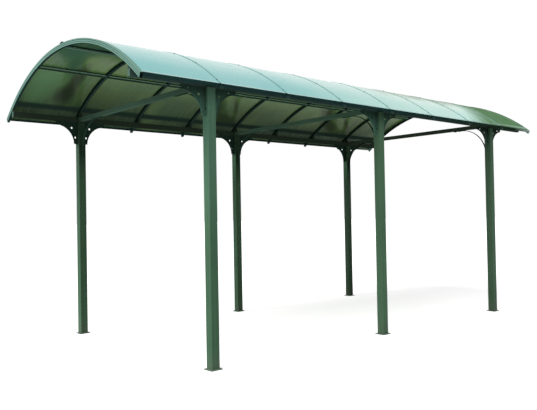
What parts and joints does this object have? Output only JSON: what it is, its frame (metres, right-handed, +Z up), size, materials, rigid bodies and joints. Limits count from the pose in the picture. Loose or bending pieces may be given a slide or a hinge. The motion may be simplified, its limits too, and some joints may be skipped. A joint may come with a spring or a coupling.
{
  "type": "arched carport",
  "caption": "Open carport: square posts on base plates, tie beams, curved ribs and an arched roof of translucent sheets.",
  "frame": {"origin": "on the ground, at the centre of the plan", "axes": "+X along the carport towards the back end, +Y from the near row of posts to the far row, +Z up"},
  "size_m": [4.98, 2.3692, 2.3993],
  "materials": {
    "steel_paint": "satin",
    "beam_paint": "satin",
    "end_arch_paint": "satin",
    "cap_plastic": "satin",
    "roof_sheet": "gloss"
  },
  "bodies": {
    "root": {"post_near_1": "steel_paint", "gussets_near_1": "steel_paint", "post_far_1": "steel_paint", "gussets_far_1": "steel_paint", "tie_beam_1": "steel_paint", "knee_braces_1": "steel_paint", "post_near_2": "steel_paint", "gussets_near_2": "steel_paint", "post_far_2": "steel_paint", "gussets_far_2": "steel_paint", "tie_beam_2": "steel_paint", "knee_braces_2": "steel_paint", "post_near_3": "steel_paint", "gussets_near_3": "steel_paint", "post_far_3": "steel_paint", "gussets_far_3": "steel_paint", "tie_beam_3": "steel_paint", "knee_braces_3": "steel_paint", "eave_beam_near": "beam_paint", "eave_beam_far": "beam_paint", "end_arch_front": "end_arch_paint", "end_arch_back": "end_arch_paint", "rib_1": "beam_paint", "rib_2": "beam_paint", "rib_3": "beam_paint", "rib_4": "beam_paint", "rib_5": "beam_paint", "rib_6": "beam_paint", "rib_7": "beam_paint", "roof_panel_1": "roof_sheet", "roof_panel_2": "roof_sheet", "roof_panel_3": "roof_sheet", "roof_panel_4": "roof_sheet", "roof_panel_5": "roof_sheet", "roof_panel_6": "roof_sheet", "roof_panel_7": "roof_sheet", "roof_panel_8": "roof_sheet", "purlin_near": "beam_paint", "purlin_ridge": "beam_paint", "purlin_far": "beam_paint", "edge_strip_near": "beam_paint", "edge_strip_far": "beam_paint", "beam_end_caps": "cap_plastic"}
  },
  "joints": []
}
